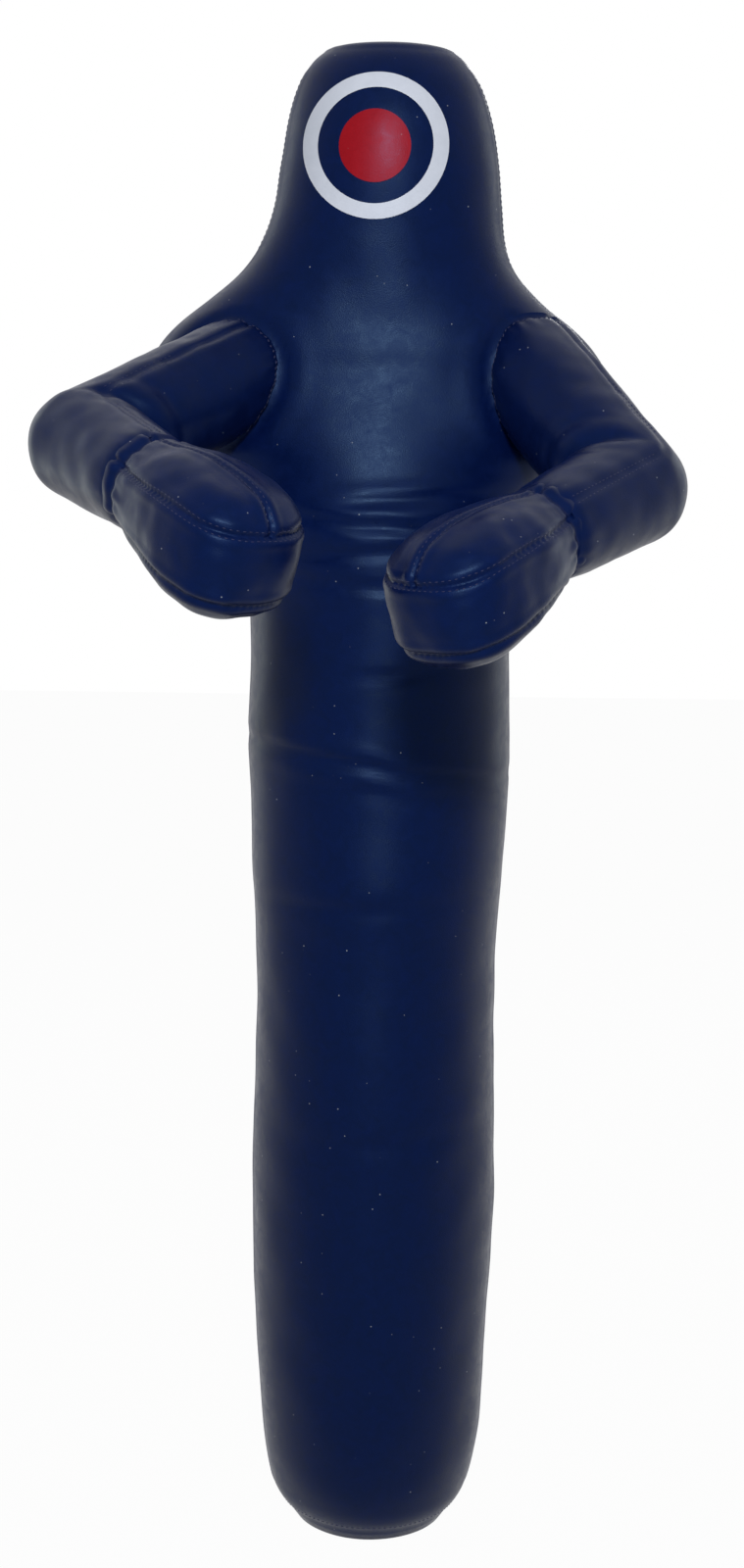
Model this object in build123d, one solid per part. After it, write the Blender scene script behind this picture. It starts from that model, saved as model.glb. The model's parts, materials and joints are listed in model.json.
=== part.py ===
from build123d import *
import os
from math import atan2, cos, radians, sin, tan

# A stuffed grappling mannequin: one sewn trunk with a head, and two bent arms that end in mitts.
# It stands on z = 0 and faces -Y, so its own right arm is on -X. Millimetres and degrees.

# Trunk and head
shoulder_height = 1405.0  # floor to the shoulder line
head_height = 365.0  # shoulder line to the crown
trunk_radius = 150.0
base_face_radius = 96.0  # the flat that it stands on
shoulder_half_width = 263.0
shoulder_half_depth = 112.0
neck_half_width = 137.0
neck_half_depth = 105.0
head_half_width = 123.0
head_half_depth = 108.0

# Cover, lining and filling
cover_thickness = 2.0
lining_thickness = 10.0
layer_gap = 0.3  # between one layer and the next
base_seam_height = 18.0  # where the base disc is sewn to the side panels
lift_heights = (0.30, 0.62, 0.86)  # tops of the packed lifts of filling, as shares of the shoulder height

# Arms
arm_root_out = 178.0  # from the middle plane to the shoulder joint
arm_root_forward = 77.0  # from the trunk's middle to the shoulder joint
arm_root_drop = 14.0  # below the shoulder line
upper_arm_length = 215.0  # shoulder joint to elbow joint
forearm_length = 173.0  # elbow joint to wrist joint
mitt_length = 198.0  # wrist joint to the knuckle face
shoulder_ball_radius = 65.0
upper_arm_end_radius = 62.0
elbow_ball_radius = 60.0
forearm_end_radius = 54.0
wrist_ball_radius = 51.0
mitt_half_width = 66.0
mitt_half_height = 65.0
mitt_sag = 8.0  # the mitt's end hangs this far below the line of its wrist
elbow_collar = 25.0  # the upper arm stops this far short of the elbow joint
wrist_collar = 22.0  # the forearm stops this far short of the wrist joint
motion_gap = 0.6  # around a limb's root, over its whole travel

# Mitt panels, measured from the mitt's own middle line
mitt_top_seam = 22.0  # the two top panels are above this, the side band below it
mitt_sole_seam = -30.0  # the sole is below this
mitt_ridge_seam = 8.0  # between the two top panels, towards the outside

# How each arm hangs: out, in and drop are angles from straight ahead and level
arms = {
    "right": {"side": -1, "upper": (42.0, 19.0), "fore": (-30.0, 12.0), "hand": (-41.0, 20.5)},
    "left": {"side": 1, "upper": (27.0, 30.5), "fore": (-38.0, 14.5), "hand": (-42.0, 20.0)},
}
shoulder_axis = (-1, 0, 0)  # positive turns raise the arm
shoulder_travel = (-25.0, 25.0)
swing_margin = 2.0  # degrees that an armhole opens beyond the arm's travel
elbow_travel = (-30.0, 4.0)

# Target print on the head
target_across = -13.0
target_height = 242.0  # above the shoulder line
target_outer_radius = 80.0
target_inner_radius = 63.0
bullseye_radius = 39.5
print_thickness = 0.3
print_gap = 0.05

# Zip in the middle of the back
back_straight_low = 0.27  # the back is straight between these shares of the shoulder height
back_straight_high = 0.85
zip_length = 650.0
zip_slot_width = 15.0
tape_seat_gap = 1.2  # between the cover and the tapes
tape_width = 20.0
tape_thickness = 1.0
coil_split = 1.4  # between the two tapes, and between the two coils
coil_width = 3.4
coil_height = 2.4
stop_length = 6.0
slider_width = 12.6
slider_length = 17.0
slider_wall = 1.6
slider_gap = 0.25
slider_post_width = 0.9
slider_post_length = 5.0
ear_spacing = 6.4
ear_thickness = 1.4
ear_height = 5.2
ear_length = 5.0
pivot_radius = 1.1
pivot_clearance = 0.08
pivot_height = 3.0  # above the slider's plate
knuckle_radius = 2.4
knuckle_side_gap = 0.3
pull_length = 42.0
pull_width = 9.0
pull_thickness = 1.8
pull_neck_length = 7.0
pull_hole_radius = 2.2

# Worked out from the sizes above
total_height = shoulder_height + head_height
zip_middle = shoulder_height * (back_straight_low + back_straight_high) / 2
zip_top = zip_middle + zip_length / 2
zip_bottom = zip_middle - zip_length / 2
lining_inset = cover_thickness + layer_gap
filling_inset = lining_inset + lining_thickness + layer_gap
tape_face = trunk_radius - cover_thickness - tape_seat_gap
coil_face = tape_face + coil_height
plate_face = coil_face + slider_gap + slider_wall
wing_face = tape_face - tape_thickness - slider_gap
slider_middle = zip_top - stop_length - slider_length / 2 - slider_gap
pivot_place = (plate_face + pivot_height, slider_middle)  # how far back, and how high


def mix(low, high, share):
    return low + (high - low) * share


def below(height):
    size = 3 * total_height
    return Pos(0, 0, height - size / 2) * Box(size, size, size)


def above(height):
    size = 3 * total_height
    return Pos(0, 0, height + size / 2) * Box(size, size, size)


def toward(direction, distance):
    """The half of space that lies beyond distance, in a direction of length 1."""
    size = 3 * total_height
    return Plane(origin=direction * distance, z_dir=direction) * Pos(0, 0, size / 2) * Box(size, size, size)


# ---- Trunk ----


def trunk_stations():
    """Height, half width and half depth of each cross-section, from the floor up."""
    chest_half_width = 1.043 * trunk_radius
    stations = [(0, base_face_radius, base_face_radius)]
    for share, wide, deep in (
        (0.006, 0.735, 0.735),
        (0.023, 0.80, 0.81),
        (0.075, 0.88, 0.905),
        (0.15, 0.933, 0.973),
        (back_straight_low, 0.97, 1),
        (0.40, 0.96, 1),
        (0.50, 0.95, 1),
        (0.605, 0.997, 1),
        (0.675, 1.023, 1),
        (0.77, 1.01, 1),
        (back_straight_high, 1.043, 1),
    ):
        stations.append((share * shoulder_height, wide * trunk_radius, deep * trunk_radius))
    for share, wide, deep in (
        (0.883, 0.127, 0.16),
        (0.915, 0.38, 0.37),
        (0.947, 0.71, 0.6),
        (0.975, 0.94, 0.84),
        (1, 1, 1),
    ):
        half_width = mix(chest_half_width, shoulder_half_width, wide)
        half_depth = mix(trunk_radius, shoulder_half_depth, deep)
        stations.append((share * shoulder_height, half_width, half_depth))
    for share, wide, deep in (
        (0.067, 0.096, 0.29),
        (0.134, 0.295, 0.7),
        (0.214, 0.58, 1),
        (0.295, 0.845, 1),
        (0.389, 1, 1),
    ):
        half_width = mix(shoulder_half_width, neck_half_width, wide)
        half_depth = mix(shoulder_half_depth, neck_half_depth, deep)
        stations.append((shoulder_height + share * head_height, half_width, half_depth))
    for share, wide, deep in (
        (0.509, 1.045, 0.99),
        (0.643, 0.996, 1),
        (0.764, 0.931, 0.954),
        (0.858, 0.825, 0.86),
        (0.925, 0.70, 0.73),
        (0.97, 0.54, 0.56),
        (1, 0.33, 0.34),
    ):
        height = shoulder_height + share * head_height
        stations.append((height, wide * head_half_width, deep * head_half_depth))
    return stations


def trunk_form(inset):
    """The closed trunk and head, taken in by inset all round."""
    sections = []
    for height, half_width, half_depth in trunk_stations():
        if height <= shoulder_height:
            height += inset * (1 - height / shoulder_height)
        else:
            height -= inset * (height - shoulder_height) / head_height
        section = scale(Circle(1), by=(half_width - inset, half_depth - inset, 1))
        sections.append(Pos(0, 0, height) * section)
    return loft(sections) & above(inset)


def cut_armholes(shape):
    """The panels, the lining and the filling all stop at the root of the arm."""
    return shape - [armhole_cutter(arm) for arm in arms.values()]


def zip_room(half_width, depth_face, low, high):
    """A straight channel into the back, from depth_face outwards."""
    depth = 2 * trunk_radius
    middle = Pos(0, depth_face + depth / 2, (low + high) / 2)
    return middle * Box(2 * half_width, depth, high - low)


def trunk_covers():
    shell = cut_armholes(trunk_form(0) - trunk_form(cover_thickness))
    base_cover = shell & below(base_seam_height)
    panels = shell & above(base_seam_height)
    slot = zip_room(zip_slot_width / 2, 0, zip_bottom, zip_top)
    back = (panels & toward(Vector(0, 1, 0), 0)) - slot
    return {
        "base_cover": base_cover,
        "front_cover": panels & toward(Vector(0, -1, 0), 0),
        "back_cover_right": back & toward(Vector(-1, 0, 0), 0),
        "back_cover_left": back & toward(Vector(1, 0, 0), 0),
    }


def trunk_lining():
    shell = cut_armholes(trunk_form(lining_inset) - trunk_form(lining_inset + lining_thickness))
    tape_floor = tape_face - tape_thickness - layer_gap
    tape_half = coil_split / 2 + tape_width + layer_gap
    slider_floor = wing_face - slider_wall - 2 * slider_gap
    shell -= zip_room(tape_half, tape_floor - 2, zip_bottom - layer_gap, zip_top + layer_gap)
    shell -= zip_room(zip_slot_width / 2, slider_floor, zip_bottom, zip_top)
    return {"foam_lining": shell}


def trunk_filling():
    core = cut_armholes(trunk_form(filling_inset))
    levels = [share * shoulder_height for share in lift_heights]
    names = ("base_filling", "waist_filling", "belly_filling", "chest_and_head_filling")
    lifts = {}
    for index, name in enumerate(names):
        lift = core
        if index:
            lift = lift & above(levels[index - 1] + layer_gap / 2)
        if index < len(levels):
            lift = lift & below(levels[index] - layer_gap / 2)
        lifts[name] = lift
    return lifts


def target_prints():
    """Two thin printed patches that follow the face of the head."""
    height = shoulder_height + target_height
    skin = trunk_form(-print_gap - print_thickness) - trunk_form(-print_gap)
    skin = skin & toward(Vector(0, -1, 0), 0)
    aim = Plane(origin=(target_across, 0, height), z_dir=(0, -1, 0))
    reach = 2 * head_half_depth

    def disc(radius):
        return aim * extrude(Circle(radius), reach)

    return {
        "target_ring": skin & (disc(target_outer_radius) - disc(target_inner_radius)),
        "target_bullseye": skin & disc(bullseye_radius),
    }


# ---- Arms ----


def heading(side, angles):
    out, drop = (radians(angle) for angle in angles)
    return Vector(side * sin(out) * cos(drop), -cos(out) * cos(drop), -sin(drop))


def arm_joints(arm):
    """Shoulder, elbow and wrist joints, and the end of the mitt."""
    side = arm["side"]
    shoulder = Vector(side * arm_root_out, -arm_root_forward, shoulder_height - arm_root_drop)
    elbow = shoulder + heading(side, arm["upper"]) * upper_arm_length
    wrist = elbow + heading(side, arm["fore"]) * forearm_length
    knuckles = wrist + heading(side, arm["hand"]) * mitt_length
    return shoulder, elbow, wrist, knuckles


def elbow_axis(arm):
    """Positive turns fold the forearm further in."""
    return heading(arm["side"], arm["upper"]).cross(heading(arm["side"], arm["fore"])).normalized()


def wrist_axis(arm):
    """Level, across the mitt. Positive turns raise it."""
    forward = heading(arm["side"], arm["hand"])
    return forward.cross(Vector(0, 0, 1)).normalized()


def limb_plane(start, end):
    """Z runs down the limb, X is level and Y is as near straight up as it can be."""
    along = (end - start).normalized()
    across = along.cross(Vector(0, 0, 1)).normalized()
    return Plane(origin=start, x_dir=across, z_dir=along)


def limb_form(length, root_radius, end_radius, seat_radius=0.0, seat_middle=0.0):
    """A round root and a tapered tube about Z, hollowed at its end where a seat is given."""
    mouth = (root_radius * cos(radians(45)), -root_radius * sin(radians(45)))
    outline = ThreePointArc((0, -root_radius), mouth, (root_radius, 0))
    outline += Line((root_radius, 0), (end_radius, length))
    bottom = length
    if seat_radius:
        reach = seat_middle - length
        rim = (seat_radius**2 - reach**2) ** 0.5
        bottom = seat_middle - seat_radius
        half = atan2(rim, reach) / 2
        way = (seat_radius * sin(half), seat_middle - seat_radius * cos(half))
        outline += Line((end_radius, length), (rim, length))
        outline += ThreePointArc((rim, length), way, (0, bottom))
    else:
        outline += Line((end_radius, length), (0, length))
    outline += Line((0, bottom), (0, -root_radius))
    section = Plane.XZ * make_face(outline)
    return revolve(section, Axis.Z)


def seat_cutter(root, along, root_radius, length, swing):
    """A round seat for a limb's root, whose mouth opens by the angle that the limb swings."""
    angle = radians(swing)
    middle = -(radians(90) + angle) / 2
    rim = (root_radius * cos(angle), -root_radius * sin(angle))
    end = (root_radius / cos(angle) + length * tan(angle), length)
    outline = ThreePointArc((0, -root_radius), (root_radius * cos(middle), root_radius * sin(middle)), rim)
    outline += Line(rim, end)
    outline += Line(end, (0, length))
    outline += Line((0, length), (0, -root_radius))
    return limb_plane(root, along) * revolve(Plane.XZ * make_face(outline), Axis.Z)


def armhole_cutter(arm):
    shoulder, elbow, wrist, knuckles = arm_joints(arm)
    radius = shoulder_ball_radius + motion_gap
    return seat_cutter(shoulder, elbow, radius, upper_arm_length, shoulder_travel[1] + swing_margin)


def upper_arm_form(arm, inset):
    shoulder, elbow, wrist, knuckles = arm_joints(arm)
    length = upper_arm_length - elbow_collar - inset
    end_radius = mix(shoulder_ball_radius, upper_arm_end_radius, length / upper_arm_length)
    form = limb_form(length, shoulder_ball_radius - inset, end_radius - inset)
    seat_radius = elbow_ball_radius + motion_gap + inset
    return limb_plane(shoulder, elbow) * form - seat_cutter(elbow, wrist, seat_radius, forearm_length, elbow_travel[1])


def forearm_form(arm, inset):
    shoulder, elbow, wrist, knuckles = arm_joints(arm)
    length = forearm_length - wrist_collar - inset
    end_radius = mix(elbow_ball_radius, forearm_end_radius, length / forearm_length)
    seat_radius = wrist_ball_radius + motion_gap + inset
    form = limb_form(length, elbow_ball_radius - inset, end_radius - inset, seat_radius, forearm_length)
    return limb_plane(elbow, wrist) * form


def mitt_form(arm, inset):
    """A soft box with a round root inside the sleeve's end."""
    shoulder, elbow, wrist, knuckles = arm_joints(arm)
    sections = []
    for share, wide, high, corner in (
        (0.04, 0.73, 0.80, 0.98),
        (0.22, 0.90, 0.93, 0.90),
        (0.50, 1, 1, 0.78),
        (0.80, 0.98, 0.97, 0.70),
        (0.93, 0.86, 0.86, 0.68),
        (1, 0.66, 0.66, 0.68),
    ):
        half_width = wide * mitt_half_width - inset
        half_height = high * mitt_half_height - inset
        radius = corner * min(half_width, half_height)
        outline = RectangleRounded(2 * half_width, 2 * half_height, radius)
        sections.append(Pos(0, -mitt_sag * share, share * (mitt_length - inset)) * outline)
    return limb_plane(wrist, knuckles) * (loft(sections) + Sphere(wrist_ball_radius - inset))


def skin_and_filling(form, arm):
    skin = form(arm, 0) - form(arm, cover_thickness)
    return skin, form(arm, lining_inset)


def sleeve_panels(skin, start, end):
    """A sleeve is sewn from a top and an under panel, along its two sides."""
    plane = limb_plane(start, end)
    size = 3 * total_height
    top = plane * Pos(0, size / 2, 0) * Box(size, size, size)
    under = plane * Pos(0, -size / 2, 0) * Box(size, size, size)
    return skin & top, skin & under


def mitt_panels(skin, arm):
    shoulder, elbow, wrist, knuckles = arm_joints(arm)
    plane = limb_plane(wrist, knuckles)
    size = 3 * total_height
    block = Box(size, size, size)
    top = skin & plane * Pos(0, mitt_top_seam + size / 2, 0) * block
    lower = skin & plane * Pos(0, mitt_top_seam - size / 2, 0) * block
    outward = arm["side"] if plane.x_dir.X > 0 else -arm["side"]
    ridge = outward * mitt_ridge_seam
    return {
        "top_outer": top & plane * Pos(ridge + outward * size / 2, 0, 0) * block,
        "top_inner": top & plane * Pos(ridge - outward * size / 2, 0, 0) * block,
        "band": lower & plane * Pos(0, mitt_sole_seam + size / 2, 0) * block,
        "sole": lower & plane * Pos(0, mitt_sole_seam - size / 2, 0) * block,
    }


def arm_pieces(name, arm):
    shoulder, elbow, wrist, knuckles = arm_joints(arm)
    pieces = {}
    skin, filling = skin_and_filling(upper_arm_form, arm)
    top, under = sleeve_panels(skin, shoulder, elbow)
    pieces[f"{name}_upper_sleeve_top"] = top
    pieces[f"{name}_upper_sleeve_under"] = under
    pieces[f"{name}_upper_arm_filling"] = filling
    skin, filling = skin_and_filling(forearm_form, arm)
    top, under = sleeve_panels(skin, elbow, wrist)
    pieces[f"{name}_forearm_sleeve_top"] = top
    pieces[f"{name}_forearm_sleeve_under"] = under
    pieces[f"{name}_forearm_filling"] = filling
    skin, filling = skin_and_filling(mitt_form, arm)
    for panel, piece in mitt_panels(skin, arm).items():
        pieces[f"{name}_mitt_{panel}"] = piece
    pieces[f"{name}_mitt_filling"] = filling
    return pieces


# ---- Zip ----


def zip_tape(side):
    """A woven strip that follows the round of the back, under the cover's slot."""
    ring = Circle(tape_face) - Circle(tape_face - tape_thickness)
    across = Pos(side * (coil_split / 2 + tape_width / 2), tape_face) * Rectangle(tape_width, trunk_radius)
    return Pos(0, 0, zip_bottom) * extrude(ring & across, zip_length)


def zip_coil(side):
    length = zip_length - 2 * stop_length
    middle = Pos(side * (coil_split / 2 + coil_width / 2), tape_face + coil_height / 2, zip_middle)
    return middle * Box(coil_width, coil_height, length)


def zip_stop(height):
    """A crimp across both tapes, at one end of the coils."""
    width = coil_split + 2 * coil_width
    return Pos(0, tape_face + coil_height / 2, height) * Box(width, coil_height, stop_length)


def zip_slider():
    plate = Box(slider_width, slider_wall, slider_length)
    plate = fillet(plate.edges().filter_by(Axis.Y), slider_width / 4)
    front = Pos(0, plate_face - slider_wall / 2, slider_middle) * plate
    back = Pos(0, wing_face - slider_wall / 2, slider_middle) * plate
    post_depth = plate_face - wing_face + slider_wall / 2
    post_middle = wing_face - slider_wall / 2 + post_depth / 2
    post = Box(slider_post_width, post_depth - slider_wall / 2, slider_post_length)
    body = front + back + Pos(0, post_middle, slider_middle) * post
    ear = Pos(0, plate_face + ear_height / 2, slider_middle) * Box(ear_thickness, ear_height, ear_length)
    for side in (-1, 1):
        body += Pos(side * (ear_spacing + ear_thickness) / 2, 0, 0) * ear
    bar = Rot(0, 90, 0) * Cylinder(pivot_radius, ear_spacing + ear_thickness)
    return body + Pos(0, *pivot_place) * bar


def zip_pull():
    knuckle_width = ear_spacing - 2 * knuckle_side_gap
    knuckle = Rot(0, 90, 0) * Cylinder(knuckle_radius, knuckle_width)
    neck = Pos(0, 0, -pull_neck_length / 2) * Box(knuckle_width, pull_thickness, pull_neck_length)
    tab_length = pull_length - pull_neck_length
    tab = Box(pull_width, pull_thickness, tab_length)
    tab = fillet(tab.edges().filter_by(Axis.Y), pull_width / 4)
    tab = Pos(0, 0, -pull_neck_length + 1 - tab_length / 2) * tab
    hole = Rot(90, 0, 0) * Cylinder(pull_hole_radius, 2 * pull_thickness)
    bore = Rot(0, 90, 0) * Cylinder(pivot_radius + pivot_clearance, 2 * pull_width)
    pull = knuckle + neck + tab - bore - Pos(0, 0, -pull_length + pull_width) * hole
    return Pos(0, *pivot_place) * pull


def zip_pieces():
    return {
        "zip_tape_right": zip_tape(-1),
        "zip_tape_left": zip_tape(1),
        "zip_coil_right": zip_coil(-1),
        "zip_coil_left": zip_coil(1),
        "zip_top_stop": zip_stop(zip_top - stop_length / 2),
        "zip_bottom_stop": zip_stop(zip_bottom + stop_length / 2),
        "zip_slider": zip_slider(),
        "zip_pull": zip_pull(),
    }


def show_joints():
    for name, arm in arms.items():
        for joint, place in zip(("shoulder", "elbow", "wrist", "knuckles"), arm_joints(arm)):
            print(name, joint, [round(value, 3) for value in place])
        for joint, axis in (("elbow", elbow_axis(arm)), ("wrist", wrist_axis(arm))):
            print(name, joint, "axis", [round(value, 6) for value in axis])
    print("zip pivot", pivot_place, "slider", slider_middle, "zip", zip_bottom, zip_top)


pieces = {**trunk_covers(), **trunk_lining(), **trunk_filling(), **target_prints()}
for arm_name, arm_sizes in arms.items():
    pieces.update(arm_pieces(arm_name, arm_sizes))
pieces.update(zip_pieces())
os.makedirs("parts", exist_ok=True)
for piece_name, piece in pieces.items():
    export_step(piece, f"parts/{piece_name}.step")
show_joints()
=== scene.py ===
import json
from math import acos, cos, exp, pi, radians, sin

import bmesh
import bpy
from mathutils import Matrix, Vector, noise


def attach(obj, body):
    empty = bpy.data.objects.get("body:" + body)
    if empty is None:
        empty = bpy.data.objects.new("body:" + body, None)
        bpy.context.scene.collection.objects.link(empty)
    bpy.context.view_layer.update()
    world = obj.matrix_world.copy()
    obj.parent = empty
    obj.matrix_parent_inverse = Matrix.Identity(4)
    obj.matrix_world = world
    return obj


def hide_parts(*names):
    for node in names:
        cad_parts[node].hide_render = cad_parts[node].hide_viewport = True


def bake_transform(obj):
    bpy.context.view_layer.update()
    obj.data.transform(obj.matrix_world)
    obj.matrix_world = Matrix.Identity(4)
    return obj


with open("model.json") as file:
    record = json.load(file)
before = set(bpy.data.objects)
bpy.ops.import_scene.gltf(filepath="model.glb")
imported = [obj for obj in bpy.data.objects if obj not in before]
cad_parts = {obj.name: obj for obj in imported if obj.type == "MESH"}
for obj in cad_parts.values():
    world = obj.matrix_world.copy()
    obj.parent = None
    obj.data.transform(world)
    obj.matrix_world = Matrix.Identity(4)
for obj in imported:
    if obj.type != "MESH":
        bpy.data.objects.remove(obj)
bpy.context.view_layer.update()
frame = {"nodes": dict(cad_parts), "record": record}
joints = frame["record"]["behaviour"]["joints"]
jointPlace = {joint["name"]: Vector(joint["pos_m"]) for joint in joints if "pos_m" in joint}
jointAxis = {joint["name"]: Vector(joint["axis"]) for joint in joints}

# small helpers


def mix(low, high, share):
    return low + (high - low) * share


def smooth(low, high, value):
    share = min(max((value - low) / (high - low), 0), 1)
    return share * share * (3 - 2 * share)


def ridge(distance, width):
    return exp(-((distance / width) ** 2))


def lumps(point, size, seed=0.0):
    return noise.noise(Vector(point) / size + Vector((seed, seed * 1.7, seed * 0.6)))


def alongStations(rows, column, place):  # a smooth curve through a dictionary's stations
    index = 0
    while index < len(rows) - 2 and place > rows[index + 1][0]:
        index += 1
    before, here = rows[max(index - 1, 0)], rows[index]
    there, after = rows[index + 1], rows[min(index + 2, len(rows) - 1)]
    step = there[0] - here[0]
    share = min(max((place - here[0]) / step, 0), 1)
    rise = there[column] - here[column]
    leave = (there[column] - before[column]) / (there[0] - before[0]) * step
    arrive = (after[column] - here[column]) / (after[0] - here[0]) * step
    bend = 3 * rise - 2 * leave - arrive
    return here[column] + leave * share + bend * share**2 + (leave + arrive - 2 * rise) * share**3


def newPiece(name, bm, material):
    mesh = bpy.data.meshes.new(name)
    bm.to_mesh(mesh)
    bm.free()
    for polygon in mesh.polygons:
        polygon.use_smooth = True
    mesh.materials.append(material)
    piece = bpy.data.objects.new(name, mesh)
    bpy.context.scene.collection.objects.link(piece)
    return piece


def ringStack(rings, segments, place, soften=0):  # a tube of rings, closed round each ring
    bm = bmesh.new()
    bmesh.ops.create_grid(bm, x_segments=segments, y_segments=rings - 1, size=0.5)
    for vert in bm.verts:
        turn = round((vert.co.x + 0.5) * segments) % segments
        ring = round((vert.co.y + 0.5) * (rings - 1))
        vert.co = place(ring, turn)
    bmesh.ops.remove_doubles(bm, verts=bm.verts, dist=0.00001)
    axes = {"use_axis_x": True, "use_axis_y": True, "use_axis_z": True}
    for _ in range(soften):
        inner = [vert for vert in bm.verts if not vert.is_boundary]
        bmesh.ops.smooth_vert(bm, verts=inner, factor=0.5, **axes)
    bmesh.ops.recalc_face_normals(bm, faces=bm.faces)
    return bm


# finishes


def makeGroup(name, inputs, outputs):
    group = bpy.data.node_groups.new(name, "ShaderNodeTree")
    for label, kind, value in inputs:
        socket = group.interface.new_socket(label, in_out="INPUT", socket_type=kind)
        socket.default_value = value
    for label, kind in outputs:
        group.interface.new_socket(label, in_out="OUTPUT", socket_type=kind)
    return group, group.nodes.new("NodeGroupInput"), group.nodes.new("NodeGroupOutput")


def addNode(tree, kind, links=(), **values):
    node = tree.nodes.new(kind)
    for key, value in values.items():
        if key.startswith("in_"):
            node.inputs[key[3:].replace("_", " ")].default_value = value
        else:
            setattr(node, key, value)
    for socket, source in links:
        tree.links.new(source, node.inputs[socket])
    return node


def makeLeatherGrain():  # fine pebbled grain with soft creases
    floats = "NodeSocketFloat"
    group, given, result = makeGroup(
        "leatherGrain",
        [
            ("Grain Size", floats, 900.0),
            ("Crease Size", floats, 60.0),
            ("Crease Share", floats, 0.5),
        ],
        [("Height", floats), ("Mottle", floats)],
    )
    place = addNode(group, "ShaderNodeTexCoord").outputs["Object"]
    pebbles = addNode(
        group,
        "ShaderNodeTexVoronoi",
        [("Vector", place), ("Scale", given.outputs["Grain Size"])],
        feature="SMOOTH_F1",
        in_Smoothness=0.6,
    )
    fine = addNode(
        group,
        "ShaderNodeTexNoise",
        [("Vector", place)],
        in_Scale=2600.0,
        in_Detail=2.0,
        in_Roughness=0.6,
    )
    creases = addNode(
        group,
        "ShaderNodeTexNoise",
        [("Vector", place), ("Scale", given.outputs["Crease Size"])],
        in_Detail=6.0,
        in_Roughness=0.62,
        in_Distortion=0.8,
    )
    half = addNode(group, "ShaderNodeMath", [(0, fine.outputs["Fac"])], operation="MULTIPLY")
    half.inputs[1].default_value = 0.35
    links = [(0, pebbles.outputs["Distance"]), (1, half.outputs[0])]
    grain = addNode(group, "ShaderNodeMath", links, operation="ADD")
    folded = addNode(
        group,
        "ShaderNodeMath",
        [(0, creases.outputs["Fac"]), (1, given.outputs["Crease Share"])],
        operation="MULTIPLY",
    )
    links = [(0, grain.outputs[0]), (1, folded.outputs[0])]
    total = addNode(group, "ShaderNodeMath", links, operation="ADD")
    group.links.new(total.outputs[0], result.inputs["Height"])
    group.links.new(creases.outputs["Fac"], result.inputs["Mottle"])
    return group


def makeDust():  # sparse pale specks and lint
    floats = "NodeSocketFloat"
    group, given, result = makeGroup("dustSpecks", [("Amount", floats, 0.5)], [("Mask", floats)])
    place = addNode(group, "ShaderNodeTexCoord").outputs["Object"]
    cells = addNode(
        group,
        "ShaderNodeTexVoronoi",
        [("Vector", place)],
        feature="F1",
        in_Scale=120.0,
        in_Randomness=1.0,
    )
    links = [("Value", cells.outputs["Distance"])]
    near = addNode(group, "ShaderNodeMapRange", links, in_From_Min=0.11, in_From_Max=0.05)
    pick = addNode(group, "ShaderNodeSeparateColor", [("Color", cells.outputs["Color"])])
    links = [("Value", pick.outputs["Red"])]
    some = addNode(group, "ShaderNodeMapRange", links, in_From_Min=0.90, in_From_Max=0.97)
    links = [(0, near.outputs[0]), (1, some.outputs[0])]
    both = addNode(group, "ShaderNodeMath", links, operation="MULTIPLY")
    links = [(0, both.outputs[0]), (1, given.outputs["Amount"])]
    scaled = addNode(group, "ShaderNodeMath", links, operation="MULTIPLY")
    group.links.new(scaled.outputs[0], result.inputs["Mask"])
    return group


leatherGrain = makeLeatherGrain()
dustSpecks = makeDust()
dustColour = (0.55, 0.58, 0.62)
sheenColour = (0.35, 0.60, 1.0)  # the vinyl's highlights are bluish


def colourMix(tree, factor, first, second):  # each end is a plain colour or another node's output
    node = addNode(tree, "ShaderNodeMix", [("Factor", factor)], data_type="RGBA")
    ends = [socket for socket in node.inputs if socket.type == "RGBA"]
    for socket, end in zip(ends, (first, second)):
        if isinstance(end, tuple):
            socket.default_value = (*end, 1)
        else:
            tree.links.new(end, socket)
    return [socket for socket in node.outputs if socket.type == "RGBA"][0]


def makeSkin(name, dark, light, bump=0.25, dust=0.6):
    material = bpy.data.materials.new(name)
    material.use_nodes = True
    tree = material.node_tree
    shader = tree.nodes["Principled BSDF"]
    group = addNode(tree, "ShaderNodeGroup", node_tree=leatherGrain)
    group.inputs["Grain Size"].default_value = 900.0
    specks = addNode(tree, "ShaderNodeGroup", node_tree=dustSpecks)
    specks.inputs["Amount"].default_value = dust
    tone = colourMix(tree, group.outputs["Mottle"], dark, light)
    dusty = colourMix(tree, specks.outputs["Mask"], tone, dustColour)
    tree.links.new(dusty, shader.inputs["Base Color"])
    rough = addNode(
        tree,
        "ShaderNodeMapRange",
        [("Value", group.outputs["Mottle"])],
        in_From_Min=0.3,
        in_From_Max=0.7,
        in_To_Min=0.30,
        in_To_Max=0.42,
    )
    tree.links.new(rough.outputs[0], shader.inputs["Roughness"])
    links = [("Height", group.outputs["Height"])]
    raised = addNode(tree, "ShaderNodeBump", links, in_Strength=bump)
    raised.inputs["Distance"].default_value = 0.0004
    tree.links.new(raised.outputs["Normal"], shader.inputs["Normal"])
    shader.inputs["Specular IOR Level"].default_value = 0.14
    shader.inputs["Specular Tint"].default_value = (*sheenColour, 1)
    return material


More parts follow.
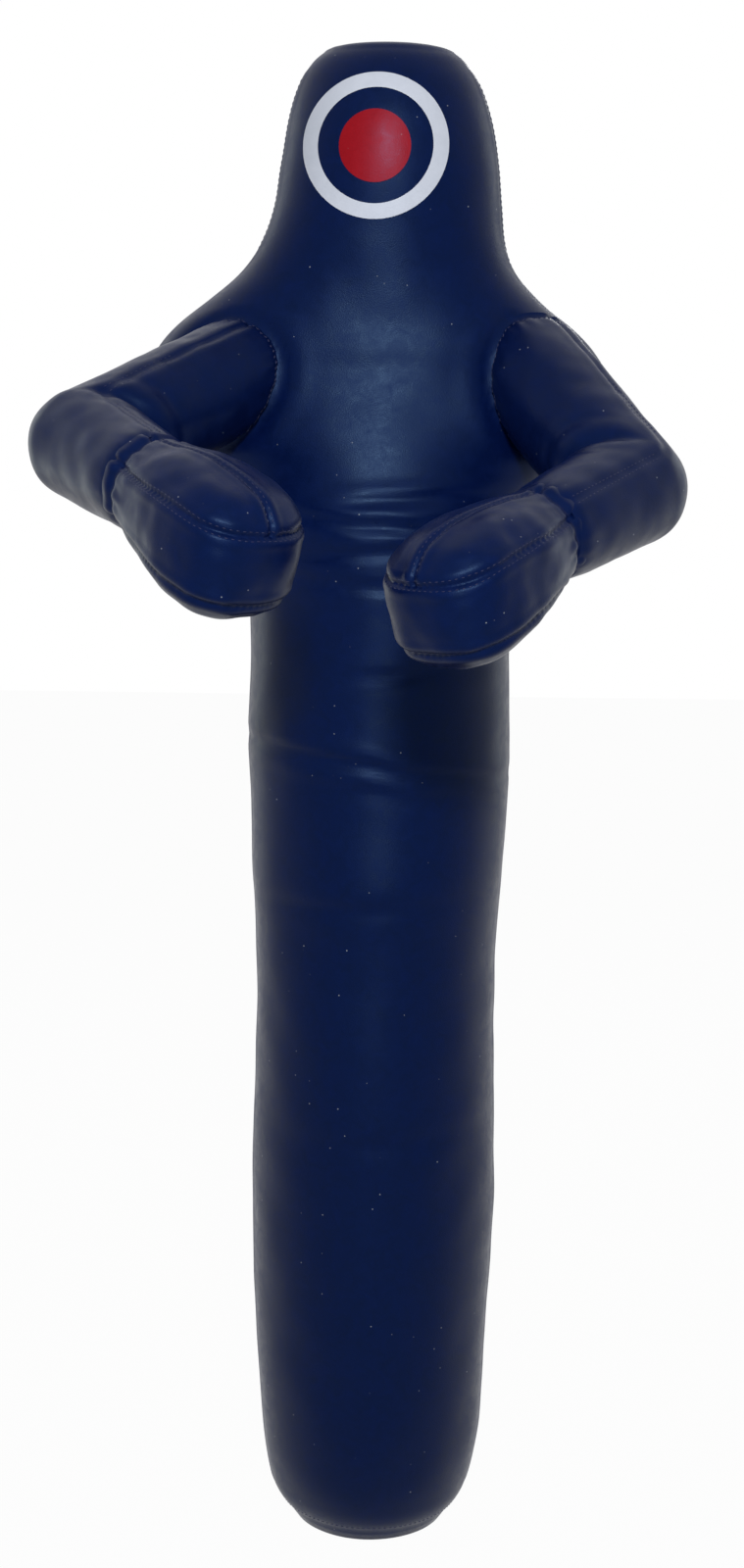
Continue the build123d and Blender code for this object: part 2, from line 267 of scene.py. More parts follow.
def makePlain(name, colour, roughness, metal=0.0, bump=0.1, scale=400.0):
    material = bpy.data.materials.new(name)
    material.use_nodes = True
    tree = material.node_tree
    shader = tree.nodes["Principled BSDF"]
    place = addNode(tree, "ShaderNodeTexCoord").outputs["Object"]
    spots = addNode(tree, "ShaderNodeTexNoise", [("Vector", place)], in_Scale=scale, in_Detail=4.0)
    tone = addNode(tree, "ShaderNodeValToRGB", [("Fac", spots.outputs["Fac"])])
    tone.color_ramp.elements[0].position = 0.3
    tone.color_ramp.elements[0].color = (*[part * 0.8 for part in colour], 1)
    tone.color_ramp.elements[1].position = 0.7
    tone.color_ramp.elements[1].color = (*colour, 1)
    tree.links.new(tone.outputs["Color"], shader.inputs["Base Color"])
    raised = addNode(tree, "ShaderNodeBump", [("Height", spots.outputs["Fac"])], in_Strength=bump)
    raised.inputs["Distance"].default_value = 0.0003
    tree.links.new(raised.outputs["Normal"], shader.inputs["Normal"])
    shader.inputs["Roughness"].default_value = roughness
    shader.inputs["Metallic"].default_value = metal
    return material


navyVinyl = makeSkin("navyVinyl", (0.0006, 0.0042, 0.030), (0.0016, 0.0078, 0.062))
whitePrint = makeSkin("whitePrint", (0.60, 0.64, 0.74), (0.72, 0.76, 0.86), dust=0.0, bump=0.2)
redPrint = makeSkin("redPrint", (0.26, 0.004, 0.008), (0.36, 0.007, 0.012), dust=0.5, bump=0.2)
navyThread = makePlain("navyThread", (0.010, 0.014, 0.070), 0.55)
blackTape = makePlain("blackTape", (0.006, 0.008, 0.018), 0.8, bump=0.5, scale=1500.0)
blackCoil = makePlain("blackCoil", (0.010, 0.011, 0.020), 0.38)
nickel = makePlain("nickel", (0.55, 0.55, 0.57), 0.28, metal=1.0)
print("finishes made")

# trunk and head

stitchPull = 0.0085  # spacing of the small puckers along a seam
trunk = {
    "stations": [  # height, half width, half depth, sideways shift
        (0.0, 0.076, 0.076, 0),
        (0.006, 0.094, 0.094, 0),
        (0.020, 0.108, 0.109, 0),
        (0.045, 0.121, 0.122, 0),
        (0.105, 0.1325, 0.136, 0),
        (0.210, 0.140, 0.146, 0),
        (0.380, 0.1455, 0.150, 0),
        (0.562, 0.144, 0.150, 0),
        (0.703, 0.1425, 0.150, 0),
        (0.850, 0.1495, 0.150, 0),
        (0.948, 0.1535, 0.150, 0),
        (1.082, 0.1515, 0.150, 0),
        (1.194, 0.1565, 0.150, 0),
        (1.240, 0.170, 0.149, -0.002),
        (1.286, 0.197, 0.136, -0.003),
        (1.330, 0.232, 0.127, -0.004),
        (1.370, 0.257, 0.118, -0.005),
        (1.405, 0.263, 0.112, -0.006),
        (1.430, 0.251, 0.110, -0.008),
        (1.455, 0.228, 0.107, -0.009),
        (1.485, 0.190, 0.105, -0.009),
        (1.515, 0.158, 0.104, -0.007),
        (1.550, 0.1385, 0.105, -0.003),
        (1.592, 0.1285, 0.107, 0.002),
        (1.640, 0.1225, 0.108, 0.004),
        (1.684, 0.1150, 0.103, 0.004),
        (1.718, 0.1040, 0.093, 0.004),
        (1.741, 0.0915, 0.081, 0.003),
        (1.756, 0.0770, 0.067, 0.003),
        (1.765, 0.0550, 0.049, 0.002),
        (1.768, 0.0005, 0.0005, 0.002),
    ],
    "segments": 192,
    "rings": 300,
    "zipLow": 0.4618,
    "zipHigh": 1.1118,
    "zipHalf": 0.0075,
    "baseSeam": 0.018,
    # height on the middle line, rise towards the left, depth, width and how far round it runs
    "creases": [
        (1.262, 0.010, 0.0030, 0.010, 0.030, 0.10),
        (1.236, -0.012, 0.0036, 0.011, -0.020, 0.13),
        (1.205, 0.008, 0.0032, 0.010, 0.020, 0.12),
        (1.168, -0.006, 0.0028, 0.012, -0.010, 0.10),
        (1.066, 0.012, 0.0022, 0.014, 0.030, 0.10),
        (0.962, -0.022, 0.0046, 0.013, -0.010, 0.17),
        (0.935, -0.014, 0.0024, 0.016, 0.040, 0.10),
        (0.800, 0.006, 0.0018, 0.016, -0.030, 0.09),
        (0.520, 0.008, 0.0012, 0.020, 0.020, 0.10),
    ],
    "backCreases": (0.36, 0.66, 0.98, 1.20),
}


def trunkHeights():  # rings are closer together where the form turns quickly
    top = trunk["stations"][-1][0]
    heights = []
    for ring in range(trunk["rings"]):
        share = ring / (trunk["rings"] - 1)
        heights.append(top * (share - 0.035 * sin(2 * pi * share) / pi))
    dense = [top * (1 - (1 - cos(pi / 2 * step / 24)) * 0.06) for step in range(25)]
    return sorted(set([height for height in heights if height < dense[-1]] + dense))


def trunkSection(height, angle):
    rows = trunk["stations"]
    wide = alongStations(rows, 1, height)
    deep = alongStations(rows, 2, height)
    shift = alongStations(rows, 3, height)
    outward = Vector((cos(angle), sin(angle), 0))
    return Vector((shift + wide * cos(angle), deep * sin(angle), height)), outward


def trunkRelief(point, angle):
    x, y, z = point
    depth = 0.0026 * lumps(point, 0.16, 3.1) + 0.0011 * lumps(point, 0.055, 8.2)
    head = smooth(1.50, 1.56, z)
    depth += 0.0065 * ridge(z - 0.835, 0.055) * ridge(x, 0.13) * smooth(0.02, -0.05, y)
    front = smooth(0.02, -0.05, y)
    for height, slant, deep, width, middle, reach in trunk["creases"]:
        wave = height + slant * (x / 0.15) + 0.004 * lumps((x, 0, height), 0.05, height * 9)
        fade = ridge(x - middle, reach) * front
        gap = z - wave
        valley = ridge(gap, width * 0.55)
        depth += deep * fade * (0.7 * ridge(gap - width * 1.1, width * 0.9) - valley)
        depth += deep * fade * 0.5 * ridge(gap + width * 1.3, width)
    back = smooth(0.02, 0.10, y)
    for height in trunk["backCreases"]:
        depth += back * 0.0016 * -ridge(z - height - 0.01 * lumps((x, 0, height), 0.08, 5), 0.010)
    seam = abs(y + 0.012 * head) if z < 1.74 else 1
    pull = 0.5 + 0.5 * cos(2 * pi * z / stitchPull)
    depth -= (0.0030 + 0.0005 * pull) * ridge(seam, 0.0035)
    depth += 0.0012 * ridge(seam - 0.010, 0.006)
    depth -= 0.0028 * ridge(z - trunk["baseSeam"], 0.0030)
    if y > 0:
        edge = abs(abs(x) - 0.0105)
        inZip = smooth(trunk["zipLow"] - 0.03, trunk["zipLow"], z)
        inZip *= smooth(trunk["zipHigh"] + 0.03, trunk["zipHigh"], z)
        depth -= 0.0014 * ridge(edge, 0.0022) * inZip
        depth -= 0.0030 * ridge(x, 0.0035) * (1 - inZip)
    return depth * smooth(0.0, 0.012, z) * (1 - 0.9 * smooth(1.755, 1.7715, z))


def trunkPoint(height, angle, proud=0.0):  # a point of the finished cover
    point, outward = trunkSection(height, angle)
    return point + outward * (trunkRelief(point, angle) + proud)


def insideTrunk(point):
    rows = trunk["stations"]
    if point.z >= rows[-1][0]:
        return False
    wide = alongStations(rows, 1, point.z)
    deep = alongStations(rows, 2, point.z)
    shift = alongStations(rows, 3, point.z)
    return ((point.x - shift) / wide) ** 2 + (point.y / deep) ** 2 < 1


arms = {  # the drop is how far the mitt points below level, in degrees
    "right": {"side": -1, "seed": 1.0, "drop": 20.5},
    "left": {"side": 1, "seed": 6.0, "drop": 20.0},
}
sleeve = {
    "shoulderRadius": 0.0655,
    "elbowRadius": 0.0615,
    "wristRadius": 0.0525,
    "segments": 112,
    "seamTurn": 0.35,
    "upperRings": 34,
    "leadRings": 24,
    "fanRings": 26,
    "foreRings": 44,
}
mitt = {
    "length": 0.198,
    "stations": [  # share of the length, half width, half height, squareness
        (-0.08, 0.0500, 0.0500, 2.0),
        (0.0, 0.0525, 0.0525, 2.0),
        (0.12, 0.0565, 0.0555, 2.1),
        (0.30, 0.0635, 0.0610, 2.4),
        (0.55, 0.0695, 0.0670, 2.7),
        (0.80, 0.0700, 0.0680, 2.8),
        (1.0, 0.0680, 0.0670, 2.8),
    ],
    "straight": 0.60,
    "blunt": 2.7,
    "droop": 0.009,
    "rimHeight": 0.024,
    "rimRise": 0.012,
    "soleHeight": -0.036,
    "ridgeOffset": 0.010,
    "segments": 176,
    "rings": 120,
}

for side, arm in arms.items():
    arm["shoulder"] = jointPlace[side + "_shoulder"]
    arm["elbow"] = jointPlace[side + "_elbow"]
    arm["wrist"] = jointPlace[side + "_wrist"]
    arm["hinge"] = jointAxis[side + "_elbow"].normalized()
    across = jointAxis[side + "_wrist"].normalized()
    drop = radians(arm["drop"])
    level = Vector((0, 0, 1)).cross(across).normalized()
    arm["pointing"] = level * cos(drop) - Vector((0, 0, 1)) * sin(drop)
    arm["upper"] = (arm["elbow"] - arm["shoulder"]).normalized()
    arm["fore"] = (arm["wrist"] - arm["elbow"]).normalized()


def upperAxes(arm):  # the inside of the bend is at a quarter turn
    along = arm["upper"]
    hinge = (arm["hinge"] - along * arm["hinge"].dot(along)).normalized()
    inner = hinge.cross(along).normalized()
    return hinge, inner


def upperPoint(arm, distance, angle):
    hinge, inner = upperAxes(arm)
    length = (arm["elbow"] - arm["shoulder"]).length
    radius = mix(sleeve["shoulderRadius"], sleeve["elbowRadius"], min(max(distance / length, 0), 1))
    outward = hinge * cos(angle) + inner * sin(angle)
    return arm["shoulder"] + arm["upper"] * distance + outward * radius


def armholeDistances(arm):  # where each line along the sleeve leaves the trunk
    distances = []
    for turn in range(sleeve["segments"]):
        angle = 2 * pi * turn / sleeve["segments"]
        distance = 0.13
        while distance > -0.05 and not insideTrunk(upperPoint(arm, distance, angle)):
            distance -= 0.001
        distances.append(distance)
    count = len(distances)
    for _ in range(10):
        distances = [
            (distances[turn - 1] + 2 * distances[turn] + distances[(turn + 1) % count]) / 4
            for turn in range(count)
        ]
    return distances


for arm in arms.values():
    arm["armhole"] = armholeDistances(arm)
    arm["seamLoop"] = [
        upperPoint(arm, distance, 2 * pi * turn / sleeve["segments"])
        for turn, distance in enumerate(arm["armhole"])
    ]


def makeTrunk():
    heights = trunkHeights()
    segments = trunk["segments"]
    seams = [point for arm in arms.values() for point in arm["seamLoop"][::2]]

    def place(ring, turn):
        angle = 2 * pi * turn / segments + pi / 2
        height = heights[ring]
        if ring == 0:
            return Vector((0, 0, 0))
        point = trunkPoint(height, angle)
        if 1.24 < height < 1.47 and abs(point.x) > 0.08:
            near = min((point - seam).length for seam in seams)
            outward = Vector((cos(angle), sin(angle), 0))
            point -= outward * (0.0050 * ridge(near, 0.008))
            point += outward * (0.0009 * ridge(near - 0.022, 0.012))
        if ring == 1:
            point.z = 0
        return point

    bm = ringStack(len(heights), segments, place)
    low, high, half = trunk["zipLow"], trunk["zipHigh"], trunk["zipHalf"]
    for x in (-half, half):
        whole = bm.verts[:] + bm.edges[:] + bm.faces[:]
        bmesh.ops.bisect_plane(bm, geom=whole, plane_co=(x, 0, 0), plane_no=(1, 0, 0), dist=0.0001)
    gone = []
    for face in bm.faces:
        middle = face.calc_center_median()
        if abs(middle.x) < half and middle.y > 0.1 and low < middle.z < high:
            gone.append(face)
    bmesh.ops.delete(bm, geom=gone, context="FACES")
    piece = newPiece("trunkCover", bm, navyVinyl)
    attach(piece, "torso")
    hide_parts("front_cover", "back_cover_right", "back_cover_left", "base_cover")
    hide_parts("foam_lining", "base_filling", "waist_filling", "belly_filling")
    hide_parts("chest_and_head_filling")
    return piece


trunkCover = makeTrunk()
print("trunk made")

# target print

target = {
    "across": -0.013,
    "height": 1.647,
    "outer": 0.080,
    "inner": 0.063,
    "bullseye": 0.0395,
    "proud": 0.0009,
}


def headFront(x, z):  # the face of the head, straight in from the front
    rows = trunk["stations"]
    wide = alongStations(rows, 1, z)
    shift = alongStations(rows, 3, z)
    angle = -acos(min(max((x - shift) / wide, -0.999), 0.999))
    point = trunkPoint(z, angle, target["proud"])
    return Vector((x, point.y, z))


def makePrint(name, node, inner, outer, material, egg):  # egg: how far it is from round
    segments, rings = 128, 10 if inner else 22

    def place(ring, turn):
        angle = 2 * pi * turn / segments
        radius = mix(inner, outer, ring / (rings - 1))
        wobble = 0.020 * sin(angle + 0.6) + 0.012 * sin(2 * angle + 1.0) + 0.006 * sin(3 * angle)
        wobble = 1 + egg * wobble
        x = target["across"] + radius * wobble * cos(angle)
        z = target["height"] + radius * wobble * sin(angle)
        return headFront(x, z)

    bm = ringStack(rings, segments, place)
    piece = newPiece(name, bm, material)
    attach(piece, "torso")
    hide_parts(node)


inner, outer, bullseye = target["inner"], target["outer"], target["bullseye"]
makePrint("targetRing", "target_ring", inner, outer, whitePrint, 1.0)
makePrint("targetBullseye", "target_bullseye", 0.0, bullseye, redPrint, 0.3)
print("target made")

# stitching

stitch = {  # offset is from the seam to each row beside it
    "pitch": 0.0066,
    "half": 0.0021,
    "thick": 0.00042,
    "offset": 0.0042,
    "proud": 0.0001,
}


def evenSteps(points, pitch):  # walks a line of points in equal steps
    steps, left = [], pitch / 2
    for here, there in zip(points, points[1:]):
        length = (there - here).length
        while length > left:
            here = here.lerp(there, left / length)
            length = (there - here).length
            along = (there - here).normalized() if length > 1e-9 else Vector((0, 0, 1))
            steps.append((here.copy(), along))
            left = pitch
        left -= length
    return steps


def makeStitches(name, cover, lines):  # small beads laid on the cover along each line
    bm = bmesh.new()
    for line in lines:
        for place, along in evenSteps(line, stitch["pitch"]):
            found, spot, normal, _ = cover.closest_point_on_mesh(place)
            if not found or (spot - place).length > 0.02:
                continue
            along = (along - normal * along.dot(normal)).normalized()
            beside = normal.cross(along)
            turn = Matrix((along, beside, normal)).transposed().to_4x4()
            size = Matrix.Diagonal((stitch["half"], stitch["thick"], stitch["thick"], 1))
            where = Matrix.Translation(spot + normal * stitch["proud"]) @ turn @ size
            bmesh.ops.create_icosphere(bm, subdivisions=1, radius=1, matrix=where)
    piece = newPiece(name, bm, navyThread)
    return piece


# sleeves


def sleeveRelief(arm, point, seam):
    seed = arm["seed"]
    depth = 0.0022 * lumps(point, 0.075, seed) + 0.0012 * lumps(point, 0.030, seed + 2)
    pull = 0.5 + 0.5 * cos(2 * pi * point.length / stitchPull)
    depth -= (0.0026 + 0.0006 * pull) * ridge(seam, 0.0032)
    return depth + 0.0010 * ridge(seam - 0.010, 0.006)


def sleeveSeam(angle, radius):  # the two long seams, in metres round the sleeve
    turn = (angle - sleeve["seamTurn"]) % pi
    return min(turn, pi - turn) * radius


def seamAngles(radius):  # a row of stitches on each side of both seams
    for seam in (sleeve["seamTurn"], sleeve["seamTurn"] + pi):
        for out in (-stitch["offset"], stitch["offset"]):
            yield seam + out / radius


def makeSleeves(name, arm):
    segments = sleeve["segments"]
    hinge, inner = upperAxes(arm)
    upperLength = (arm["elbow"] - arm["shoulder"]).length
    foreLength = (arm["wrist"] - arm["elbow"]).length
    bend = acos(arm["upper"].dot(arm["fore"]))
    foreInner = hinge.cross(arm["fore"]).normalized()
    split = upperLength * 0.50
    upperRings, lead = sleeve["upperRings"], sleeve["leadRings"]
    fanRings, foreRings = sleeve["fanRings"], sleeve["foreRings"]

    def radiusAt(distance):
        share = min(max(distance / upperLength, 0), 1)
        return mix(sleeve["shoulderRadius"], sleeve["elbowRadius"], share)

    def upperPlace(distance, angle):
        radius = radiusAt(distance)
        outward = hinge * cos(angle) + inner * sin(angle)
        point = arm["shoulder"] + arm["upper"] * distance + outward * radius
        point += outward * sleeveRelief(arm, point, sleeveSeam(angle, radius))
        return point, outward

    def shoulderPlace(ring, turn):
        angle = 2 * pi * turn / segments
        start = arm["armhole"][turn] - 0.006
        share = ring / (upperRings - 1)
        distance = mix(start, split, share)
        point, outward = upperPlace(distance, angle)
        fromSeam = distance - arm["armhole"][turn]
        gather = 0.5 + 0.5 * sin(angle * 23 + 1.3 * sin(angle * 5 + arm["seed"]))
        point -= outward * (0.0070 * ridge(fromSeam, 0.006))
        point -= outward * (0.0016 * gather * ridge(fromSeam - 0.012, 0.012))
        return point

    bm = ringStack(upperRings, segments, shoulderPlace)
    piece = newPiece(name + "ShoulderSleeve", bm, navyVinyl)
    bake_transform(piece)
    lines = []
    for out in (stitch["offset"], 0.0085):
        line = []
        for turn in list(range(segments)) + [0]:
            line.append(upperPoint(arm, arm["armhole"][turn] + out, 2 * pi * turn / segments))
        lines.append(line)
    for angle in seamAngles(sleeve["shoulderRadius"]):
        lines.append([upperPoint(arm, mix(0.09, split, step / 10), angle) for step in range(11)])
    threads = makeStitches(name + "ShoulderStitches", piece, lines)
    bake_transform(threads)
    parts = ("sleeve_top", "sleeve_under", "arm_filling")
    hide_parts(*[f"{name}_upper_{part}" for part in parts])

    def elbowPlace(ring, turn):  # two straight runs, with a fan between that folds on the inside
        angle = 2 * pi * turn / segments
        if ring < lead:
            distance = mix(split, upperLength, ring / lead)
            room = radiusAt(distance) * max(sin(angle), 0) * sin(bend / 2) / cos(bend / 2)
            distance = mix(split, upperLength - room, ring / lead)
            point, outward = upperPlace(distance, angle)
            fold = (upperLength - room - distance) if sin(angle) > 0 else 1
        elif ring <= lead + fanRings:
            share = (ring - lead) / fanRings
            radius = sleeve["elbowRadius"]
            way = 1 if hinge.dot(arm["upper"].cross(arm["fore"])) < 0 else -1
            direction = Matrix.Rotation(-bend * share * way, 4, hinge) @ inner
            if sin(angle) <= 0:
                outward = hinge * cos(angle) + direction * sin(angle)
                point = arm["elbow"] + outward * radius
                fold = 1
            else:
                middle = (inner + foreInner).normalized()
                point = arm["elbow"] + hinge * cos(angle) * radius
                point += middle * (sin(angle) * radius / cos(bend / 2))
                outward = (hinge * cos(angle) + middle * sin(angle)).normalized()
                fold = 0
            point += outward * sleeveRelief(arm, point, sleeveSeam(angle, radius))
        else:
            share = (ring - lead - fanRings) / foreRings
            room = sleeve["elbowRadius"] * max(sin(angle), 0) * sin(bend / 2) / cos(bend / 2)
            distance = mix(room, foreLength, share)
            radius = mix(sleeve["elbowRadius"], sleeve["wristRadius"], distance / foreLength)
            outward = hinge * cos(angle) + foreInner * sin(angle)
            point = arm["elbow"] + arm["fore"] * distance + outward * radius
            point += outward * sleeveRelief(arm, point, sleeveSeam(angle, radius))
            fromWrist = foreLength - distance
            gather = 0.5 + 0.5 * sin(angle * 19 + arm["seed"])
            point -= outward * (0.0045 * ridge(fromWrist, 0.006))
            point -= outward * (0.0014 * gather * ridge(fromWrist - 0.010, 0.012))
            fold = distance - room if sin(angle) > 0 else 1
        inside = max(sin(angle), 0) ** 0.7
        valley = 0.007 * ridge(fold, 0.007) - 0.002 * ridge(fold - 0.022, 0.012)
        point -= outward * valley * inside
        point -= outward * (0.0018 * ridge(fold - 0.040, 0.008)) * inside
        return point

    bm = ringStack(lead + fanRings + foreRings + 1, segments, elbowPlace, soften=4)
    piece = newPiece(name + "ForearmSleeve", bm, navyVinyl)
    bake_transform(piece)
    lines = []
    for angle in seamAngles(sleeve["elbowRadius"]):
        places = [mix(split, upperLength - 0.02, step / 10) for step in range(11)]
        lines.append([upperPoint(arm, place, angle) for place in places])
        outward = hinge * cos(angle) + foreInner * sin(angle)
        radius = mix(sleeve["elbowRadius"], sleeve["wristRadius"], 0.6)
        inset = 0.01 if sin(angle) < 0 else 0.05
        places = [mix(inset, foreLength - 0.008, step / 12) for step in range(13)]
        lines.append([arm["elbow"] + arm["fore"] * place + outward * radius for place in places])
    threads = makeStitches(name + "ForearmStitches", piece, lines)
    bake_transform(threads)
    parts = ("sleeve_top", "sleeve_under", "filling")
    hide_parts(*[f"{name}_forearm_{part}" for part in parts])


def trunkStitchLines():
    lines = []
    heights = [0.03 + 1.70 * step / 170 for step in range(171)]
    for angle in (0, pi):
        for out in (-stitch["offset"], stitch["offset"]):
            lines.append([trunkPoint(height, angle + out / 0.145) for height in heights])
    for x in (-0.0115, 0.0115):
        zipHeights = [mix(trunk["zipLow"], trunk["zipHigh"], step / 40) for step in range(41)]
        lines.append([Vector((x, trunkPoint(height, pi / 2).y, height)) for height in zipHeights])
    turns = [2 * pi * step / 72 for step in range(73)]
    lines.append([trunkPoint(trunk["baseSeam"] + 0.005, angle) for angle in turns])
    return lines


trunkThreads = makeStitches("trunkStitches", trunkCover, trunkStitchLines())
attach(trunkThreads, "torso")
for side, arm in arms.items():
    makeSleeves(side, arm)
print("sleeves made")

# mitts


def mittAxes(arm):
    along = arm["pointing"]
    across = along.cross(Vector((0, 0, 1))).normalized()
    return along, across, across.cross(along).normalized()


def mittForm(arm, share, angle):  # a soft box: straight sides, then a blunt rounded end
    along, across, up = mittAxes(arm)
    blunt = mitt["blunt"]
    if share <= mitt["straight"]:
        place, taper = share, 1.0
    else:
        turn = (share - mitt["straight"]) / (1 - mitt["straight"]) * pi / 2
        place = mitt["straight"] + (1 - mitt["straight"]) * sin(turn) ** (2 / blunt)
        taper = max(cos(turn), 0) ** (2 / blunt)
    wide, high, power = [alongStations(mitt["stations"], column, place) for column in (1, 2, 3)]
    c, s = cos(angle), sin(angle)
    reach = (abs(c) ** power + abs(s) ** power) ** (-1 / power) * taper
    droop = -mitt["droop"] * smooth(0.3, 1.0, place)
    x, z = c * wide * reach, s * high * reach
    point = arm["wrist"] + along * (place * mitt["length"]) + across * x + up * (z + droop)
    return point, x, z, place * mitt["length"]


def rimLevel(forward):
    return mitt["rimHeight"] + mitt["rimRise"] * smooth(0.02, 0.15, forward)


def ridgePlace(outer, forward):
    return outer * (mitt["ridgeOffset"] - 0.012 * smooth(0, 0.18, forward))


def solveAngle(low, high, isBelow):  # halves the span until it closes on the seam
    for _ in range(24):
        middle = (low + high) / 2
        low, high = (middle, high) if isBelow(middle) else (low, middle)
    return low


def mittSeamLines(arm, outer):  # beside the rim seam all round, and beside the ridge on top
    lines = []
    shares = [0.02 + 0.97 * step / 90 for step in range(91)]
    for off in (-stitch["offset"], stitch["offset"]):
        halves = []
        for side in (0, pi):
            half = []
            for share in shares:
                top = mittForm(arm, share, pi / 2)
                if top[2] <= rimLevel(top[3]) + off:
                    break

                def below(angle):
                    _, _, z, forward = mittForm(arm, share, angle)
                    return z < rimLevel(forward) + off

                half.append(mittForm(arm, share, solveAngle(side, pi / 2, below))[0])
            halves.append(half)
        lines.append(halves[0] + halves[1][::-1])
        ridgeLine = []
        for share in shares:
            top = mittForm(arm, share, pi / 2)
            if top[2] <= rimLevel(top[3]) + 0.006:
                break

            def beside(angle):
                _, x, _, forward = mittForm(arm, share, angle)
                return x > ridgePlace(outer, forward) + off

            ridgeLine.append(mittForm(arm, share, solveAngle(0, pi, beside))[0])
        lines.append(ridgeLine)
    return lines


def makeMitt(name, arm):
    segments, rings = mitt["segments"], mitt["rings"]
    along, across, _ = mittAxes(arm)
    outer = arm["side"] if across.x > 0 else -arm["side"]
    seed = arm["seed"] + 3

    def place(ring, turn):
        angle = 2 * pi * turn / segments
        share = mix(-0.08, 1, ring / (rings - 1))
        point, x, z, forward = mittForm(arm, share, angle)
        ahead = mittForm(arm, min(share + 0.004, 1), angle)[0]
        ahead -= mittForm(arm, share - 0.004, angle)[0]
        beside = mittForm(arm, share, angle + 0.01)[0] - mittForm(arm, share, angle - 0.01)[0]
        outward = beside.cross(ahead)
        outward = outward.normalized() if outward.length > 1e-12 else along
        if outward.dot(point - arm["wrist"] - along * 0.09) < 0:
            outward = -outward
        level = rimLevel(forward)
        rim, sole = abs(z - level), abs(z - mitt["soleHeight"])
        top = abs(x - ridgePlace(outer, forward)) if z > level else 1
        pull = 0.5 + 0.5 * cos(2 * pi * (forward + x) / 0.0075)
        depth = 0.0022 * lumps(point, 0.060, seed) + 0.0013 * lumps(point, 0.024, seed + 5)
        for seam, deep in ((rim, 0.0030), (sole, 0.0018), (top, 0.0026)):
            depth -= (deep + 0.0008 * pull) * ridge(seam, 0.0026)
            depth += 0.0014 * ridge(seam - 0.008, 0.005)
        gather = 0.5 + 0.5 * sin(angle * 21 + arm["seed"])
        depth -= 0.0046 * ridge(forward, 0.0055) + 0.0016 * gather * ridge(forward - 0.012, 0.012)
        return point + outward * depth

    bm = ringStack(rings, segments, place)
    piece = newPiece(name + "Mitt", bm, navyVinyl)
    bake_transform(piece)
    threads = makeStitches(name + "MittStitches", piece, mittSeamLines(arm, outer))
    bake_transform(threads)
    parts = ("top_outer", "top_inner", "band", "sole", "filling")
    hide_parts(*[f"{name}_mitt_{part}" for part in parts])


for side, arm in arms.items():
    makeMitt(side, arm)
print("mitts made")

# carried-over nodes

kept = {
    "zip_tape_right": blackTape,
    "zip_tape_left": blackTape,
    "zip_coil_right": blackCoil,
    "zip_coil_left": blackCoil,
    "zip_top_stop": nickel,
    "zip_bottom_stop": nickel,
    "zip_slider": nickel,
    "zip_pull": nickel,
}
for node, material in kept.items():
    part = frame["nodes"][node]
    if not part.data.materials:
        part.data.materials.append(material)
    for holder in part.material_slots:
        holder.material = material

# studio

studio = {
    "cameraPlace": (0.0, -2.631, 1.366),
    "cameraDown": 9.6,
    "cameraRoll": 0.75,
    "lens": 51.3,
    "shiftX": -0.004,
}


def seesBackground(tree, path):  # rays that meet the pale background itself
    sight = addNode(
        tree,
        "ShaderNodeMath",
        [(0, path.outputs["Is Camera Ray"]), (1, path.outputs["Is Glossy Ray"])],
        operation="MAXIMUM",
    )
    links = [(0, sight.outputs[0]), (1, path.outputs["Is Transmission Ray"])]
    return addNode(tree, "ShaderNodeMath", links, operation="MAXIMUM").outputs[0]


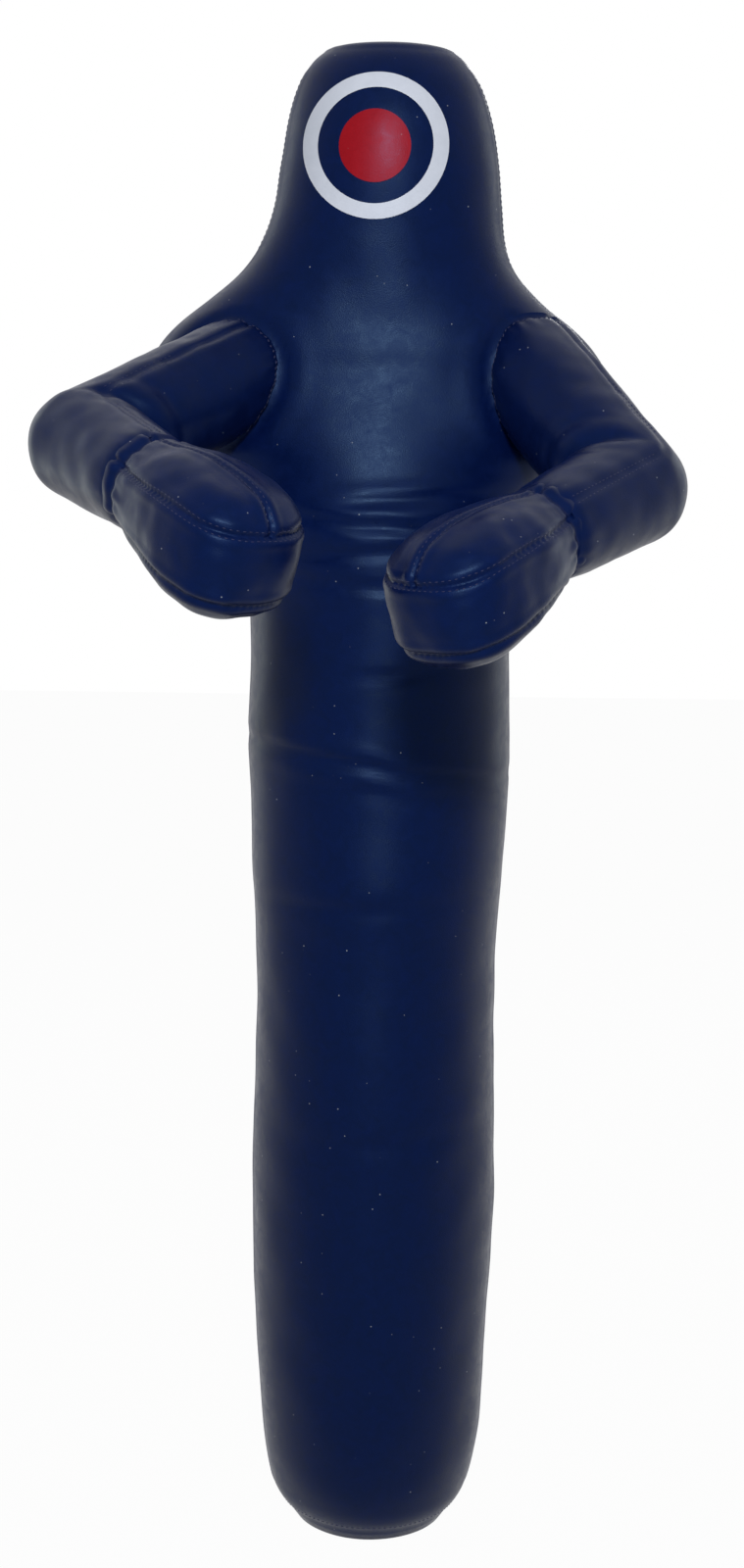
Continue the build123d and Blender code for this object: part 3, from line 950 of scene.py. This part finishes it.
def makeStage():
    bm = bmesh.new()
    bmesh.ops.create_grid(bm, x_segments=1, y_segments=1, size=8)
    material = bpy.data.materials.new("paleFloor")
    material.use_nodes = True
    tree = material.node_tree
    shader = tree.nodes["Principled BSDF"]
    shader.inputs["Base Color"].default_value = (0.62, 0.63, 0.64, 1)
    shader.inputs["Roughness"].default_value = 0.9
    glow = tree.nodes.new("ShaderNodeEmission")
    glow.inputs["Strength"].default_value = 1.0
    path = tree.nodes.new("ShaderNodeLightPath")
    share = addNode(tree, "ShaderNodeMath", [(0, seesBackground(tree, path))], operation="MULTIPLY")
    share.inputs[1].default_value = 0.97
    choose = tree.nodes.new("ShaderNodeMixShader")
    tree.links.new(share.outputs[0], choose.inputs[0])
    tree.links.new(shader.outputs[0], choose.inputs[1])
    tree.links.new(glow.outputs[0], choose.inputs[2])
    tree.links.new(choose.outputs[0], tree.nodes["Material Output"].inputs["Surface"])
    floor = newPiece("studioFloor", bm, material)
    world = bpy.data.worlds.new("studioWorld")
    bpy.context.scene.world = world
    world.use_nodes = True
    tree = world.node_tree
    background = tree.nodes["Background"]
    background.inputs["Color"].default_value = (0.90, 0.97, 1.0, 1)
    background.inputs["Strength"].default_value = 0.07
    white = tree.nodes.new("ShaderNodeBackground")
    white.inputs["Color"].default_value = (1, 1, 1, 1)
    path = tree.nodes.new("ShaderNodeLightPath")
    choose = tree.nodes.new("ShaderNodeMixShader")
    tree.links.new(seesBackground(tree, path), choose.inputs[0])
    tree.links.new(background.outputs[0], choose.inputs[1])
    tree.links.new(white.outputs[0], choose.inputs[2])
    tree.links.new(choose.outputs[0], tree.nodes["World Output"].inputs["Surface"])


def makeLight(name, place, aim, size, power, colour=(1, 1, 1)):
    light = bpy.data.lights.new(name, "AREA")
    light.shape = "RECTANGLE"
    light.size, light.size_y = size
    light.energy = power
    light.color = colour
    lamp = bpy.data.objects.new(name, light)
    lamp.location = place
    lamp.rotation_euler = (Vector(aim) - Vector(place)).to_track_quat("-Z", "Y").to_euler()
    bpy.context.scene.collection.objects.link(lamp)


def makeCamera():
    camera = bpy.data.cameras.new("studioCamera")
    camera.lens = studio["lens"]
    camera.sensor_width = 36
    camera.shift_x = studio["shiftX"]
    camera.clip_end = 50
    eye = bpy.data.objects.new("studioCamera", camera)
    tilt = Matrix.Rotation(radians(90 - studio["cameraDown"]), 4, "X")
    roll = Matrix.Rotation(radians(studio["cameraRoll"]), 4, "Z")
    eye.matrix_world = Matrix.Translation(studio["cameraPlace"]) @ tilt @ roll
    bpy.context.scene.collection.objects.link(eye)
    bpy.context.scene.camera = eye


makeStage()
makeLight("frontLight", (0.0, -2.9, 2.4), (0, 0, 1.1), (0.40, 0.34), 62)
makeLight("lowBounce", (-0.05, -2.95, 0.75), (0, 0, 0.85), (0.30, 0.22), 8)
makeLight("leftWindow", (-2.3, 1.9, 1.5), (0, 0, 1.0), (0.5, 2.4), 6, (0.88, 1.0, 0.94))
makeLight("rightWindow", (2.3, 1.9, 1.5), (0, 0, 0.9), (0.5, 2.4), 5, (0.90, 1.0, 0.97))
makeLight("backLight", (0.4, 2.9, 2.1), (0, 0, 1.0), (0.9, 0.9), 12)
makeCamera()
bpy.context.scene.view_settings.view_transform = "Standard"
print("studio made")

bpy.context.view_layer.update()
